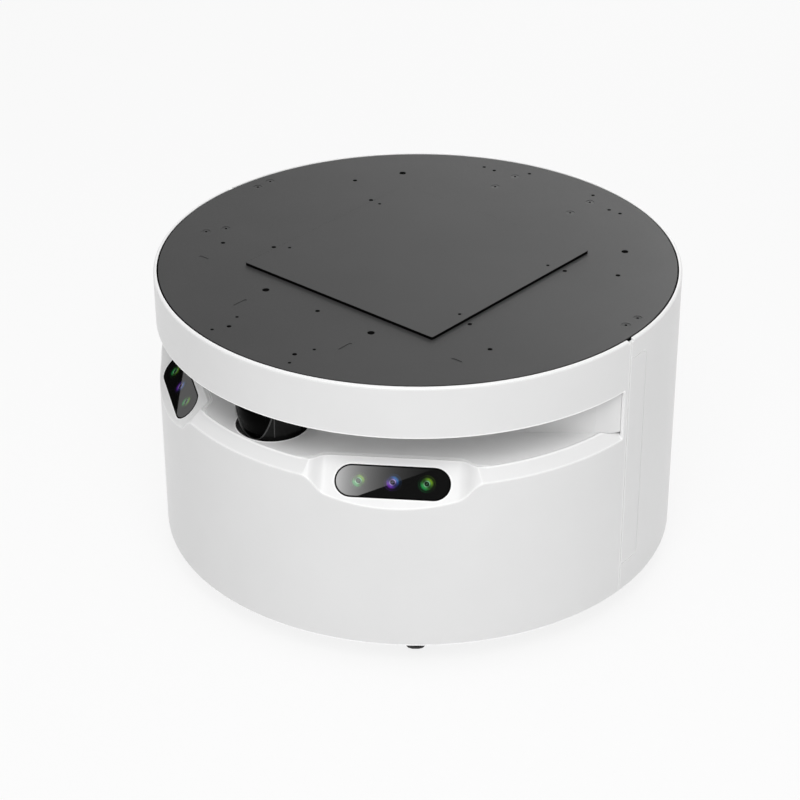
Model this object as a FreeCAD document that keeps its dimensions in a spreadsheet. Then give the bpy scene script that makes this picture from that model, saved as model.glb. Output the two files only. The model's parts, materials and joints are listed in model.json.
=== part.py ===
import FreeCAD, Part
import math
import os
import re
import Sketcher

# Round autonomous mobile robot. Millimetres, ground at z = 0, front towards -Y,
# robot's left towards +X, vertical axis of the round body on Z.

SIZES = {
    # body and shells
    "body_radius": 242,
    "deck_top": 284,
    "deck_thickness": 4,
    "deck_gap": 1.5,
    "shell_wall": 3,
    "skirt_bottom": 22,
    "edge_round": 2,
    "ledge_width": 8,
    "ledge_thickness": 3,
    "band_drop": 49.5,
    "floor_drop": 87,
    "chamfer_drop": 97,
    "chamfer_run": 11.7,
    "seam_gap": 0.6,
    "slot_end_angle": 88.6,
    "notch_width": 7,
    "notch_depth": 2.5,
    "fit_gap": 0.3,
    # service panel line on the rear shell
    "panel_reach": 26,
    "panel_top_drop": 19,
    "panel_bottom_drop": 232,
    "panel_corner": 7,
    "panel_line": 0.5,
    # lidar bay and lidar
    "well_radius": 32.6,
    "wedge_angle": 38.66,
    "flare_angle": 59.5,
    "bay_wall": 3,
    "pedestal_length": 60,
    "pedestal_width": 50,
    "lidar_base_radius": 29,
    "lidar_base_bottom": 150,
    "lidar_base_top": 176,
    "lidar_spindle_radius": 9,
    "lidar_spindle_depth": 11,
    "lidar_sink_slack": 1,
    "lidar_foot_radius": 20,
    "lidar_waist_radius": 23.5,
    "lidar_waist_height": 8,
    "lidar_brow_radius": 29.5,
    "lidar_brow_height": 24,
    "lidar_head_radius": 31.9,
    "lidar_full_height": 38,
    "lidar_head_height": 54,
    "lidar_head_round": 3,
    # camera pods
    "pod_angle": 35,
    "pod_tilt": 45,
    "pod_drop": 119.3,
    "pod_half_width": 61.8,
    "blend_width": 9.5,
    "blend_rise": 6.5,
    "blend_radius": 18,
    "window_length": 100,
    "window_height": 28.8,
    "window_offset": 23.8,
    "window_thickness": 3,
    "lens_pitch": 29.5,
    "lens_radius": 6.5,
    "lens_sink": 0.3,
    "housing_depth": 20,
    "housing_height": 24,
    "housing_corner": 3,
    "ear_gap": 2,
    "cradle_gauge": 3,
    # deck plate, its holes and its screws
    "screw_radius": 2,
    "screw_head_radius": 3.8,
    "screw_head_height": 2.2,
    "screw_length": 10,
    "screw_slack": 0.25,
    "screw_sink": 0.2,
    "socket_radius": 1.3,
    "socket_depth": 1.2,
    "large_hole_radius": 3.3,
    "medium_hole_radius": 2.2,
    "rear_hole_radius": 1.8,
    "small_hole_radius": 1.6,
    "side_screw_y": 27.7,
    "side_screw_pitch": 17.4,
    "rear_screw_x": 46,
    "rear_screw_pitch": 31.2,
    "hanger_screw_y": 76.6,
    "hanger_screw_pitch": 19.4,
    "hanger_screw_turn": 60.4,
    "outer_hole_y": 92.1,
    "front_cable_x": 62.8,
    "front_hole_x": 39,
    "corner_hole_x": 46,
    "corner_hole_pitch": 30.8,
    "rear_pair_x": 77.1,
    "rear_pair_pitch": 12.9,
    "rear_hole_x": 39.2,
    "front_slot_x": 62.7,
    "side_slot_y": 126,
    "slot_width": 3,
    "front_slot_length": 16,
    "side_slot_length": 11,
    "slot_depth": 0.4,
    # raised cover
    "cover_side": 223,
    "cover_thickness": 2.5,
    "cover_corner": 1.5,
    "cover_screw_x": 102,
    "cover_screw_y": 63,
    "cover_screw_radius": 1.6,
    "cover_screw_sink": 0.8,
    # chassis
    "base_bottom": 70,
    "base_thickness": 4,
    "post_y": 68,
    "post_radius": 8,
    "post_bore_depth": 16,
    "plate_gauge": 3,
    "stay_width": 14,
    "stay_depth": 26,
    "stay_inset": 4,
    "rear_stay_width": 14,
    "rear_stay_depth": 45,
    "rear_stay_end": 20,
    "rear_stay_web": 7,
    "hanger_length": 34,
    "hanger_width": 16,
    # drive modules
    "tyre_radius": 75,
    "tyre_width": 40,
    "tyre_round": 6,
    "hub_radius": 62,
    "hub_width": 38,
    "hub_recess": 6,
    "hub_rim": 8,
    "hub_boss_radius": 20,
    "hub_hole_radius": 9,
    "hub_hole_circle": 37,
    "hub_hole_count": 6,
    "axle_radius": 8,
    "axle_seat_radius": 16,
    "axle_play": 0.1,
    "axle_overrun": 1,
    "running_gap": 0.05,
    "carriage_plate": 6,
    "carriage_width": 84,
    "carriage_top": 130,
    "carriage_bottom": 45,
    "carriage_corner": 14,
    "lug_reach": 26,
    "lug_bottom": 92,
    "lug_height": 20,
    "guide_pitch": 60,
    "guide_radius": 5,
    "guide_shoulder": 8,
    "guide_cap_radius": 11,
    "guide_cap_height": 4,
    "spring_length": 60,
    "spring_radius": 8.5,
    "wheel_clearance": 7,
    "motor_gap": 2,
    # casters
    "caster_angle": 40,
    "caster_trail": 14,
    "caster_wheel_radius": 25,
    "caster_wheel_width": 20,
    "caster_tread_round": 7,
    "caster_wheel_gap": 2,
    "caster_side_gap": 1.5,
    "caster_plate_side": 44,
    "caster_cup_radius": 15,
    "stem_radius": 6,
    "caster_axle_radius": 3,
    "fork_wall": 2.5,
    "fork_top_width": 30,
    "fork_foot_radius": 7,
    # inner units
    "unit_gap": 12,
    "unit_corner": 5,
    "battery_length": 160,
    "battery_width": 120,
    "battery_height": 72,
    "controller_length": 130,
    "controller_width": 70,
    "controller_height": 34,
    "driver_length": 110,
    "driver_width": 52,
    "driver_height": 26,
    "fin_height": 10,
    "fin_width": 2,
    "fin_count": 8,
    # rear fittings
    "button_height": 214,
    "button_radius": 8,
    "button_depth": 6,
    "button_play": 0.15,
    "bezel_radius": 12,
    "bezel_wall": 2,
    "bezel_flange": 1.4,
    "bezel_slack": 0.5,
    "bezel_depth": 8,
    "contact_height": 110,
    "contact_length": 60,
    "contact_width": 20,
    "contact_depth": 9,
    "contact_sink": 2.5,
    "strip_length": 20,
    "strip_width": 8,
    "strip_thickness": 1.8,
    "strip_play": 0.1,
}

# how far inside body_radius each of these places lies, so that it follows the rim
RIM_INSETS = {
    "lidar_offset": 45,
    "wedge_apex": 34,
    "side_screw_x": 20.1,
    "rear_screw_y": 56,
    "hanger_screw_x": 57.7,
    "outer_hole_x": 82.2,
    "cable_hole_x": 106.3,
    "cable_hole_y": 106.2,
    "front_cable_y": 106.2,
    "front_hole_y": 35.1,
    "corner_hole_y": 36.7,
    "rear_pair_y": 42.5,
    "rear_hole_y": 25.9,
    "front_slot_y": 73,
    "side_slot_x": 91,
    "post_x": 124.4,
    "track_half": 67,
    "caster_circle": 49,
}
CELLS = dict(SIZES)
CELLS.update((name, "=body_radius - %s" % inset) for name, inset in RIM_INSETS.items())

doc = FreeCAD.newDocument("autonomous_mobile_robot")
sheet = doc.addObject("Spreadsheet::Sheet", "sizes")
for row, (alias, value) in enumerate(CELLS.items(), 1):
    sheet.set("A%d" % row, alias)
    sheet.set("B%d" % row, str(value))
    sheet.setAlias("B%d" % row, alias)


def ex(text):
    def swap(match):
        word = match.group(0)
        return "sizes." + word if word in CELLS else word
    return re.sub(r"[A-Za-z_][A-Za-z_0-9]*", swap, str(text))


def num(text):
    return float(sheet.evalExpression(str(text)))


doc.recompute()
ZERO = ("0", "0", "0")


def frame_text(at, turn):
    return "placement(vector(%s; %s; %s); rotation(%s; %s; %s))" % (tuple(at) + tuple(turn))


def place(obj, at=ZERO, turn=ZERO, frame=None):
    text = frame_text(at, turn)
    if frame:
        text = frame_text(*frame) + " * " + text
    obj.setExpression("Placement", ex(text))


def cyl(name, radius, height, at=ZERO, turn=ZERO, angle="360", frame=None):
    obj = doc.addObject("Part::Cylinder", name)
    obj.setExpression("Radius", ex(radius))
    obj.setExpression("Height", ex(height))
    obj.setExpression("Angle", ex(angle))
    place(obj, at, turn, frame)
    return obj


def box(name, dims, at=ZERO, turn=ZERO, frame=None):
    """Box centred in X and Y on `at`, standing on it."""
    obj = doc.addObject("Part::Box", name)
    for key, text in zip(("Length", "Width", "Height"), dims):
        obj.setExpression(key, ex(text))
    text = frame_text(at, turn)
    text += " * " + frame_text(("-(%s) / 2" % dims[0], "-(%s) / 2" % dims[1], "0"), ZERO)
    if frame:
        text = frame_text(*frame) + " * " + text
    obj.setExpression("Placement", ex(text))
    return obj


def fuse(name, shapes):
    obj = doc.addObject("Part::MultiFuse", name)
    obj.Shapes = shapes
    return obj


def common(name, shapes):
    obj = doc.addObject("Part::MultiCommon", name)
    obj.Shapes = shapes
    return obj


def cut(name, base, tools):
    obj = doc.addObject("Part::Cut", name)
    obj.Base = base
    obj.Tool = tools[0] if len(tools) == 1 else fuse(name + "_tools", tools)
    return obj


def group(name, shapes):
    obj = doc.addObject("Part::Compound", name)
    obj.Links = shapes
    return obj


def outline(body, name, points, plane):
    """Closed sketch through points (x, y) or (x, y, arc radius to the next point)."""
    sketch = body.newObject("Sketcher::SketchObject", name)
    base = [f for f in body.Origin.OriginFeatures if f.Role == plane][0]
    sketch.AttachmentSupport = [(base, "")]
    sketch.MapMode = "FlatFace"
    count = len(points)
    spots = [FreeCAD.Vector(num(p[0]), num(p[1]), 0) for p in points]
    ends = []
    for i, point in enumerate(points):
        a, b = spots[i], spots[(i + 1) % count]
        if len(point) == 2:
            sketch.addGeometry(Part.LineSegment(a, b), False)
            ends.append((1, 2))
            continue
        radius = abs(num(point[2]))
        ccw = point[3] > 0
        chord = b - a
        left = FreeCAD.Vector(-chord.y, chord.x, 0).normalize()
        rise = math.sqrt(max(radius ** 2 - (chord.Length / 2) ** 2, 0))
        centre = (a + b) * 0.5 + left * (rise if ccw else -rise)
        first, last = (a, b) if ccw else (b, a)
        start = math.atan2(first.y - centre.y, first.x - centre.x)
        stop = math.atan2(last.y - centre.y, last.x - centre.x)
        circle = Part.Circle(centre, FreeCAD.Vector(0, 0, 1), radius)
        sketch.addGeometry(Part.ArcOfCircle(circle, start, stop), False)
        ends.append((1, 2) if ccw else (2, 1))
    for i in range(count):
        k = (i + 1) % count
        sketch.addConstraint(Sketcher.Constraint("Coincident", i, ends[i][1], k, ends[k][0]))
    for i, point in enumerate(points):
        for kind, text in (("DistanceX", point[0]), ("DistanceY", point[1])):
            rule = Sketcher.Constraint(kind, -1, 1, i, ends[i][0], num(text))
            index = sketch.addConstraint(rule)
            if text != "0":
                sketch.renameConstraint(index, "%s%d" % (kind, i))
                sketch.setExpression("Constraints.%s%d" % (kind, i), ex(text))
        if len(point) > 2:
            index = sketch.addConstraint(Sketcher.Constraint("Radius", i, num(point[2])))
            sketch.renameConstraint(index, "round%d" % i)
            sketch.setExpression("Constraints.round%d" % i, ex(point[2]))
    return sketch


def turned(name, points, angle="360", yaw="0", at=ZERO, frame=None):
    """Solid of revolution about Z; the sweep starts at +X and runs through +Y."""
    body = doc.addObject("PartDesign::Body", name)
    sketch = outline(body, name + "_profile", points, "XZ_Plane")
    spin = body.newObject("PartDesign::Revolution", name + "_turn")
    spin.Profile = sketch
    spin.ReferenceAxis = (sketch, ["V_Axis"])
    spin.setExpression("Angle", ex(angle))
    sketch.Visibility = False
    body.Tip = spin
    place(body, at, (yaw, "0", "0"), frame)
    return body


def padded(name, points, length, plane="XY_Plane", midplane=False, at=ZERO, turn=ZERO, frame=None):
    body = doc.addObject("PartDesign::Body", name)
    sketch = outline(body, name + "_profile", points, plane)
    pad = body.newObject("PartDesign::Pad", name + "_pad")
    pad.Profile = sketch
    pad.setExpression("Length", ex(length))
    pad.Midplane = midplane
    sketch.Visibility = False
    body.Tip = pad
    place(body, at, turn, frame)
    return body


def bend(x, z, radius, first, last):
    """Points 30 degrees apart on the arc of `radius` about (x, z)."""
    count = round(abs(last - first) / 30)
    points = []
    for i in range(count + 1):
        turn = first + (last - first) * i / count
        points.append(("%s + (%s) * cos(%g)" % (x, radius, turn),
                       "%s + (%s) * sin(%g)" % (z, radius, turn)))
    return points


def rounded(name, dims, corner, at=ZERO, turn=ZERO, frame=None):
    """Box centred on `at` in X and Y, standing on it, with round upright edges."""
    x, y, r = "(%s) / 2" % dims[0], "(%s) / 2" % dims[1], corner
    points = [("%s - %s" % (x, r), "-" + y, r, 1), (x, "%s - %s" % (r, y)),
              (x, "%s - %s" % (y, r), r, 1), ("%s - %s" % (x, r), y),
              ("%s - %s" % (r, x), y, r, 1), ("-" + x, "%s - %s" % (y, r)),
              ("-" + x, "%s - %s" % (r, y), r, 1), ("%s - %s" % (r, x), "-" + y)]
    return padded(name, points, dims[2], at=at, turn=turn, frame=frame)


# ------------------------------------------------------------------ levels
RIM_INNER = "(body_radius - shell_wall)"
DECK_BOTTOM = "(deck_top - deck_thickness)"
COVER_TOP = "(deck_top + cover_thickness)"
BAND_BOTTOM = "(deck_top - band_drop)"
FLOOR = "(deck_top - floor_drop)"
CHAMFER_LOW = "(deck_top - chamfer_drop)"
CHAMFER_HIGH = "(deck_top - floor_drop - fit_gap)"
CHAMFER_EDGE = "(body_radius - chamfer_run)"
SLOPE = "((%s - %s) / chamfer_run)" % (CHAMFER_HIGH, CHAMFER_LOW)
CHAMFER_WALL = "(shell_wall * sqrt(1 + %s ^ 2))" % SLOPE
LIP_TOP = "(%s - bay_wall)" % FLOOR
LIP_BOTTOM = "(%s - ledge_thickness)" % LIP_TOP
BASE_TOP = "(base_bottom + base_thickness)"
POD_POINT = "(deck_top - pod_drop)"
SEAM_TURN = "(asin(seam_gap / 2 / body_radius) / 1 deg)"
FRONT_YAW = "180 + " + SEAM_TURN
REAR_YAW = SEAM_TURN
HALF_TURN = "180 - 2 * " + SEAM_TURN
SIDES = (("left", 1), ("right", -1))
PAIR = ("-1", "1")
CORNERS = [(sx, sy) for sx in (1, -1) for sy in (1, -1)]


def ledge(top):
    inner = "%s - ledge_width" % RIM_INNER
    low = "%s - ledge_thickness" % top
    return [(RIM_INNER, top), (inner, top), (inner, low), (RIM_INNER, low)]


# ------------------------------------------------------------------ shells
def pod_frame(sign):
    turn = "%d * pod_angle" % sign
    at = ("body_radius * sin(%s)" % turn, "-body_radius * cos(%s)" % turn, POD_POINT)
    return (at, (turn, "0", "pod_tilt"))


BLEND = "atan(blend_rise / blend_width)"
SETBACK = "(blend_radius * tan(%s / 2))" % BLEND
CREST = "(pod_half_width + blend_width)"


def pod_line(drop, sign):
    """Half of the pod floor line from the middle outwards: flat, hollow curve, round curve."""
    s = "" if sign > 0 else "-"
    flat = (s + "(pod_half_width - %s)" % SETBACK, "-(%s)" % drop)
    rise_start = (s + "(pod_half_width + %s * cos(%s))" % (SETBACK, BLEND),
                  "%s * sin(%s) - (%s)" % (SETBACK, BLEND, drop))
    rise_end = (s + "(%s - %s * cos(%s))" % (CREST, SETBACK, BLEND),
                "blend_rise - %s * sin(%s) - (%s)" % (SETBACK, BLEND, drop))
    crest = (s + "(%s + %s)" % (CREST, SETBACK), "blend_rise - (%s)" % drop)
    far = (s + "(%s + pod_half_width)" % CREST, "blend_rise - (%s)" % drop)
    return flat, rise_start, rise_end, crest, far


def pod_space(name, drop, sign):
    """Everything above the pod surface lowered by `drop`, in the pod's own slope."""
    f, a, b, c, d = pod_line(drop, 1)
    g, p, q, r, t = pod_line(drop, -1)
    top = "3 * window_height"
    pts = [f + ("blend_radius", 1), a, b + ("blend_radius", -1), c, d, (d[0], top),
           (t[0], top), t, r + ("blend_radius", -1), q, p + ("blend_radius", 1), g]
    return padded(name, pts, "4 * window_height", "XZ_Plane", True, frame=pod_frame(sign))


def stadium(name, length, height, depth, low, sign):
    """Round-ended bar on the pod's slope, where its window lies."""
    frame = pod_frame(sign)
    bar = box(name + "_bar", ("%s - (%s)" % (length, height), height, depth),
              ("0", "window_offset", low), frame=frame)
    ends = [cyl(name + "_end%d" % i, "(%s) / 2" % height, depth,
                ("%s * (%s - %s) / 2" % (k, length, height), "window_offset", low), frame=frame)
            for i, k in enumerate(PAIR)]
    return fuse(name, [bar] + ends)


def seam_notches(name):
    return [box("%s_%s" % (name, side), ("notch_width", "notch_width", "notch_width"),
                ("%d * body_radius" % sign, "0", "deck_top - notch_depth"))
            for side, sign in SIDES]


def outer_edge(low, high):
    """Outer line of a shell wall between two levels, with both edges rounded."""
    x = "(body_radius - edge_round)"
    return (bend(x, "(%s + edge_round)" % low, "edge_round", -90, 0)
            + bend(x, "(%s - edge_round)" % high, "edge_round", 0, 90))


band = turned("front_band", outer_edge(BAND_BOTTOM, "deck_top") + [(RIM_INNER, "deck_top")]
              + ledge(DECK_BOTTOM) + [(RIM_INNER, BAND_BOTTOM)], HALF_TURN, FRONT_YAW)
lower = turned("front_lower", bend("(body_radius - edge_round)", "(skirt_bottom + edge_round)",
                                   "edge_round", -90, 0) + [
    ("body_radius", CHAMFER_LOW), (CHAMFER_EDGE, CHAMFER_HIGH), (CHAMFER_EDGE, LIP_TOP),
    ("%s - ledge_width" % CHAMFER_EDGE, LIP_TOP), ("%s - ledge_width" % CHAMFER_EDGE, LIP_BOTTOM),
    ("body_radius - (%s + %s - %s) / %s" % (LIP_BOTTOM, CHAMFER_WALL, CHAMFER_LOW, SLOPE), LIP_BOTTOM),
    (RIM_INNER, "%s + shell_wall * %s - %s" % (CHAMFER_LOW, SLOPE, CHAMFER_WALL))]
    + ledge("base_bottom") + [(RIM_INNER, "skirt_bottom")], HALF_TURN, FRONT_YAW)
strips = []
for side, sign in SIDES:
    yaw = "slot_end_angle - 90" if sign > 0 else "180 + " + SEAM_TURN
    outer = cyl("strip_outer_" + side, "body_radius",
                "%s - %s + 2 * edge_round" % (BAND_BOTTOM, CHAMFER_LOW),
                ("0", "0", "%s - edge_round" % CHAMFER_LOW), (yaw, "0", "0"),
                "90 - slot_end_angle - " + SEAM_TURN)
    strips.append(cut("strip_" + side, outer, [cyl("strip_inner_" + side, RIM_INNER, "deck_top")]))

lower_form = turned("lower_form", [
    ("0", "base_bottom"), ("body_radius", "base_bottom"), ("body_radius", CHAMFER_LOW),
    (CHAMFER_EDGE, CHAMFER_HIGH), ("0", CHAMFER_HIGH)], HALF_TURN, FRONT_YAW)
pods = []
pod_cutters = []
windows = []
for side, sign in SIDES:
    below = pod_space("pod_below_" + side, "shell_wall", sign)
    above = pod_space("pod_above_" + side, "0", sign)
    blank = cut("pod_blank_" + side, below, [above])
    pods.append(common("pod_plate_" + side, [blank, lower_form]))
    pod_cutters.append(pod_space("pod_cutter_" + side, "0", sign))
    windows.append(stadium("window_hole_" + side, "window_length + 2 * fit_gap",
                           "(window_height + 2 * fit_gap)", "4 * shell_wall",
                           "-2 * shell_wall", sign))
well_clear = cyl("well_clear", "well_radius + fit_gap", "%s - base_bottom" % FLOOR,
                 ("0", "-lidar_offset", BASE_TOP))
lower_part = cut("lower_part", fuse("lower_raw", [lower] + pods), pod_cutters + windows + [well_clear])
front_shell = cut("front_shell", fuse("front_raw", [band, lower_part] + strips),
                  seam_notches("front_notch"))


def panel_prism(name, inset):
    """Outline of the service panel seen from the side, rounded at its rear corners."""
    low = "(deck_top - panel_bottom_drop + (%s))" % inset
    high = "(deck_top - panel_top_drop - (%s))" % inset
    reach = "(panel_reach - (%s))" % inset
    corner = "(panel_corner - (%s))" % inset
    points = [("-panel_reach", low), ("%s - %s" % (reach, corner), low, corner, 1),
              (reach, "%s + %s" % (low, corner)), (reach, "%s - %s" % (high, corner), corner, 1),
              ("%s - %s" % (reach, corner), high), ("-panel_reach", high)]
    return padded(name, points, "3 * body_radius", "YZ_Plane", True)


rear_raw = turned("rear_raw", outer_edge("skirt_bottom", "deck_top") + [(RIM_INNER, "deck_top")]
                  + ledge(DECK_BOTTOM) + ledge("base_bottom") + [(RIM_INNER, "skirt_bottom")],
                  HALF_TURN, REAR_YAW)
panel_skin = cut("panel_skin", cyl("panel_skin_out", "body_radius + panel_line", "deck_top"),
                 [cyl("panel_skin_in", "body_radius - panel_line", "deck_top")])
panel_groove = common("panel_groove", [
    panel_skin, cut("panel_frame", panel_prism("panel_out", "0"), [panel_prism("panel_in", "panel_line")])])
BACKWARD = ("0", "0", "90")
button_hole = cyl("button_hole", "button_radius + bezel_wall + bezel_slack", "6 * shell_wall",
                  ("0", "body_radius + shell_wall", "button_height"), BACKWARD)
BEZEL_SEAT = "(body_radius - bezel_flange - fit_gap)"
button_seat = cyl("button_seat", "bezel_radius + fit_gap", "shell_wall",
                  ("0", "%s + shell_wall" % BEZEL_SEAT, "button_height"), BACKWARD)
contact_hole = box("contact_hole", ("contact_length", "6 * shell_wall", "contact_width"),
                   ("0", "body_radius", "contact_height - contact_width / 2"))
rear_shell = cut("rear_shell", rear_raw,
                 [panel_groove, button_hole, button_seat, contact_hole] + seam_notches("rear_notch"))


# ------------------------------------------------------------------ lidar bay
def wedge(name, grow, low, high):
    """Space ahead of the two bay walls: a blunt V whose arms flare at the slot's ends."""
    near = "(-wedge_apex + (%s) / cos(wedge_angle))" % grow
    end_x = "(%s * sin(slot_end_angle))" % RIM_INNER
    end_y = "(-%s * cos(slot_end_angle))" % RIM_INNER
    far = "(%s - %s * tan(flare_angle) + (%s) / cos(flare_angle))" % (end_y, end_x, grow)
    knee_x = "((%s - %s) / (tan(flare_angle) - tan(wedge_angle)))" % (near, far)
    knee_y = "(%s + %s * tan(wedge_angle))" % (near, knee_x)
    reach = "(1.3 * body_radius)"
    back = "(%s + %s * tan(flare_angle))" % (far, reach)
    points = [("0", near), ("-" + knee_x, knee_y), ("-" + reach, back), ("-" + reach, "-" + reach),
              (reach, "-" + reach), (reach, back), (knee_x, knee_y)]
    return padded(name, points, "(%s) - (%s)" % (high, low), at=("0", "0", low))


def bay_region(name, grow, low, high, rim):
    height = "(%s) - (%s)" % (high, low)
    well = cyl(name + "_well", "well_radius + (%s)" % grow, height, ("0", "-lidar_offset", low))
    both = fuse(name + "_both", [wedge(name + "_wedge", grow, low, high), well])
    return common(name, [both, cyl(name + "_disc", rim, height, ("0", "0", low))])


BAY_RIM = "(%s - fit_gap)" % RIM_INNER
CEILING = "(%s + bay_wall)" % BAND_BOTTOM
bay_walls = bay_region("bay_walls", "bay_wall", LIP_BOTTOM, CEILING, BAY_RIM)
bay_space = cut("bay_space", bay_region("bay_hollow", "0", "base_bottom", BAND_BOTTOM, "body_radius"),
                [cyl("bay_floor_keep", "%s - fit_gap" % CHAMFER_EDGE, "%s - base_bottom" % FLOOR,
                     ("0", "0", "base_bottom"))])
bay_low = cyl("bay_low", "body_radius", "bay_wall", ("0", "0", "%s - bay_wall" % LIP_TOP))
chamfer_clear = turned("chamfer_clear", [
    ("%s - 0.5 * fit_gap" % CHAMFER_EDGE, "base_bottom"), ("body_radius", "base_bottom"),
    ("body_radius", "%s + fit_gap" % CHAMFER_LOW),
    ("%s - 0.5 * fit_gap" % CHAMFER_EDGE,
     "%s + fit_gap + 0.5 * fit_gap * %s" % (CHAMFER_HIGH, SLOPE))])
bay_inside = bay_region("bay_inside", "0", FLOOR, BAND_BOTTOM, "body_radius")
bay_pods = [pod_space("bay_pod_" + side, "shell_wall + fit_gap", sign) for side, sign in SIDES]
bay_pod_limit = cyl("bay_pod_limit", "body_radius", "%s + fit_gap - base_bottom" % FLOOR,
                    ("0", "0", "base_bottom"))
bay_pod_cut = common("bay_pod_cut", [fuse("bay_pods_both", bay_pods), bay_pod_limit])
bay_well = cyl("bay_well", "well_radius", "%s - base_bottom" % FLOOR,
               ("0", "-lidar_offset", "base_bottom"))
lidar_bay = cut("lidar_bay", bay_walls,
                [bay_space, bay_low, chamfer_clear, bay_inside, bay_pod_cut, bay_well])


# ------------------------------------------------------------------ deck
def spots(x, y, count_x=(1, -1), count_y=(1,)):
    return [("%d * (%s)" % (sx, x), "%d * (%s)" % (sy, y)) for sx in count_x for sy in count_y]


def row(x, y, pitch_x, pitch_y):
    """A pair of places on each side of the deck, half a pitch either way from (x, y)."""
    return [("%d * (%s + %s * (%s) / 2)" % (sx, x, k, pitch_x), "%s + %s * (%s) / 2" % (y, k, pitch_y))
            for sx in (1, -1) for k in PAIR]


SIDE_SPOTS = row("side_screw_x", "side_screw_y", "0", "side_screw_pitch")
REAR_SPOTS = row("rear_screw_x", "rear_screw_y", "0", "rear_screw_pitch")
HANGER_SPOTS = [("-hanger_screw_x + %s * hanger_screw_pitch / 2 * cos(hanger_screw_turn)" % k,
                 "-hanger_screw_y + %s * hanger_screw_pitch / 2 * sin(hanger_screw_turn)" % k)
                for k in PAIR]
POST_SPOTS = spots("post_x", "post_y", count_y=(1, -1))
COVER_SPOTS = spots("cover_screw_x", "cover_screw_y", count_y=(1, -1))
DECK_SPOTS = SIDE_SPOTS + REAR_SPOTS + HANGER_SPOTS
HEAD_LEVEL = "(deck_top - screw_sink - screw_head_height)"

deck_holes = []
deck_screw_parts = []
for i, (x, y) in enumerate(DECK_SPOTS):
    deck_holes.append(cyl("screw_sink%d" % i, "screw_head_radius + screw_slack", "deck_thickness",
                          (x, y, HEAD_LEVEL)))
    deck_holes.append(cyl("screw_way%d" % i, "screw_radius + screw_slack", "2 * deck_thickness",
                          (x, y, "%s - deck_thickness / 2" % DECK_BOTTOM)))
    head = cyl("screw_head%d" % i, "screw_head_radius", "screw_head_height", (x, y, HEAD_LEVEL))
    shank = cyl("screw_shank%d" % i, "screw_radius", "screw_length", (x, y, HEAD_LEVEL + " - screw_length"))
    socket = cyl("screw_socket%d" % i, "socket_radius", "screw_head_height",
                 (x, y, "%s + screw_head_height - socket_depth" % HEAD_LEVEL))
    deck_screw_parts.append(cut("deck_screw%d" % i, fuse("deck_bolt%d" % i, [head, shank]), [socket]))
deck_screws = group("deck_screws", deck_screw_parts)

LARGE = spots("cable_hole_x", "cable_hole_y") + spots("front_cable_x", "-front_cable_y")
MEDIUM = POST_SPOTS + spots("outer_hole_x", "outer_hole_y", count_y=(1, -1))
MEDIUM += spots("front_hole_x", "-front_hole_y") + [("0", "-front_cable_y")]
REAR = row("rear_pair_x", "rear_pair_y", "rear_pair_pitch", "0") + spots("rear_hole_x", "rear_hole_y")
SMALL = row("corner_hole_x", "-corner_hole_y", "0", "corner_hole_pitch")
for kind, places in (("large", LARGE), ("medium", MEDIUM), ("rear", REAR), ("small", SMALL)):
    for i, (x, y) in enumerate(places):
        deck_holes.append(cyl("%s_hole%d" % (kind, i), kind + "_hole_radius", "2 * deck_thickness",
                              (x, y, "%s - deck_thickness / 2" % DECK_BOTTOM)))
for i, (x, y) in enumerate(COVER_SPOTS):
    deck_holes.append(cyl("cover_tap%d" % i, "cover_screw_radius + running_gap", "2 * deck_thickness",
                          (x, y, "%s - deck_thickness / 2" % DECK_BOTTOM)))
SLOTS = (("front_slot_x", "-front_slot_y", "slot_width", "front_slot_length"),
         ("side_slot_x", "-side_slot_y", "side_slot_length", "slot_width"))
for i, (x, y, length, width) in enumerate(SLOTS):
    for k, (px, py) in enumerate(spots(x, y)):
        deck_holes.append(rounded("deck_slot%d%d" % (i, k), (length, width, "deck_thickness"),
                                  "0.45 * slot_width", at=(px, py, "deck_top - slot_depth")))
deck_blank = cyl("deck_blank", "%s - deck_gap" % RIM_INNER, "deck_thickness", ("0", "0", DECK_BOTTOM))
deck_plate = cut("deck_plate", deck_blank, deck_holes)

cover_blank = rounded("cover_blank", ("cover_side", "cover_side", "cover_thickness"), "cover_corner",
                      at=("0", "0", "deck_top"))
cover_cuts = []
cover_screw_parts = []
for i, (x, y) in enumerate(COVER_SPOTS):
    cover_cuts.append(cyl("cover_hole%d" % i, "cover_screw_radius + running_gap", "2 * cover_thickness",
                          (x, y, "deck_top - cover_thickness / 2")))
    cover_screw_parts.append(cyl("cover_pin%d" % i, "cover_screw_radius",
                                 "%s - cover_screw_sink - %s" % (COVER_TOP, DECK_BOTTOM),
                                 (x, y, DECK_BOTTOM)))
deck_cover = cut("deck_cover", cover_blank, cover_cuts)
cover_screws = group("cover_screws", cover_screw_parts)

# ------------------------------------------------------------------ chassis
OPENING = "(tyre_width + 2 * wheel_clearance + carriage_plate)"
base_cuts = [box("wheel_opening_" + side,
                 (OPENING, "2 * (tyre_radius + wheel_clearance)", "4 * base_thickness"),
                 ("%d * (track_half - carriage_plate / 2)" % sign, "0", "base_bottom - base_thickness"))
             for side, sign in SIDES]
base_plate = cut("base_plate", cyl("base_blank", "%s - fit_gap" % RIM_INNER, "base_thickness",
                                   ("0", "0", "base_bottom")), base_cuts)

POST_LENGTH = "(%s - %s)" % (DECK_BOTTOM, BASE_TOP)
post_parts = []
for i, (x, y) in enumerate(POST_SPOTS):
    rod = cyl("post_rod%d" % i, "post_radius", POST_LENGTH, (x, y, BASE_TOP))
    bore = cyl("post_bore%d" % i, "medium_hole_radius", "post_bore_depth",
               (x, y, "%s - post_bore_depth" % DECK_BOTTOM))
    post_parts.append(cut("post%d" % i, rod, [bore]))
deck_posts = group("deck_posts", post_parts)


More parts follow.
